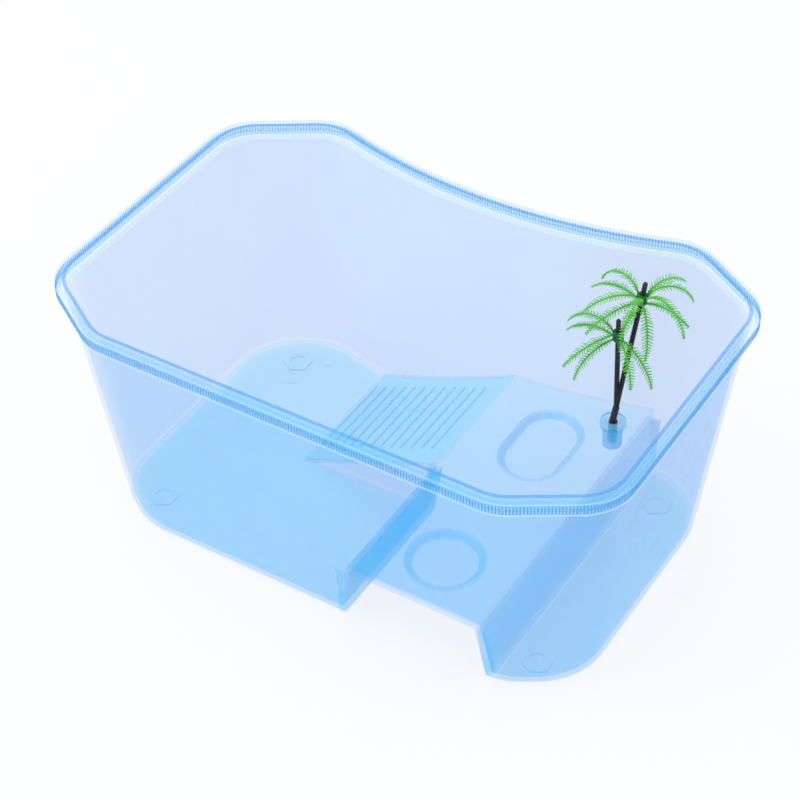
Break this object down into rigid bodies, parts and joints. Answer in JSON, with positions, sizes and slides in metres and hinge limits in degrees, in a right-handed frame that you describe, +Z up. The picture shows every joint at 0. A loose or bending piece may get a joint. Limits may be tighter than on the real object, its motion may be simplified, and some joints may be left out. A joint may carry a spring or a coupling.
{
  "type": "turtle vivarium box",
  "caption": "Open translucent tub for a small turtle, with a pool, a grooved ramp up to a basking deck with feeding dishes, and a plastic palm in a socket.",
  "frame": {"origin": "middle of the tub's footprint box, on the surface it stands on", "axes": "+X along the tub's length, from the pool towards the basking deck; +Y towards the waisted back; +Z up out of the mouth"},
  "size_m": [0.33, 0.22, 0.147],
  "materials": {
    "tinted_plastic": "translucent pale blue polypropylene, smooth moulded",
    "trunk_plastic": "near-black brown moulded plastic with leaf-scar rings",
    "leaf_plastic": "bright green moulded plastic, slightly glossy"
  },
  "bodies": {
    "tub": {"tub": "tinted_plastic"},
    "palm": {"palm_trunk": "trunk_plastic"},
    "tall_lower_whorl": {"tall_lower_leaves": "leaf_plastic"},
    "tall_upper_whorl": {"tall_upper_leaves": "leaf_plastic"},
    "short_lower_whorl": {"short_lower_leaves": "leaf_plastic"},
    "short_upper_whorl": {"short_upper_leaves": "leaf_plastic"}
  },
  "joints": [
    {"name": "palm_lift", "type": "slide", "parent": "tub", "child": "palm", "axis": [0, 0, 1], "range_m": [0, 0.13]},
    {"name": "tall_lower_turn", "type": "hinge", "parent": "palm", "child": "tall_lower_whorl", "pos_m": [0.09581, 0.07728, 0.124], "axis": [0.1124, 0.0738, 0.9909], "range_deg": [-8, 8]},
    {"name": "tall_upper_turn", "type": "hinge", "parent": "palm", "child": "tall_upper_whorl", "pos_m": [0.09581, 0.07728, 0.124], "axis": [0.1124, 0.0738, 0.9909], "range_deg": [-8, 8]},
    {"name": "short_lower_turn", "type": "hinge", "parent": "palm", "child": "short_lower_whorl", "pos_m": [0.08687, 0.07141, 0.1], "axis": [-0.0176, -0.0116, 0.9998], "range_deg": [-8, 8]},
    {"name": "short_upper_turn", "type": "hinge", "parent": "palm", "child": "short_upper_whorl", "pos_m": [0.08687, 0.07141, 0.1], "axis": [-0.0176, -0.0116, 0.9998], "range_deg": [-8, 8]}
  ]
}
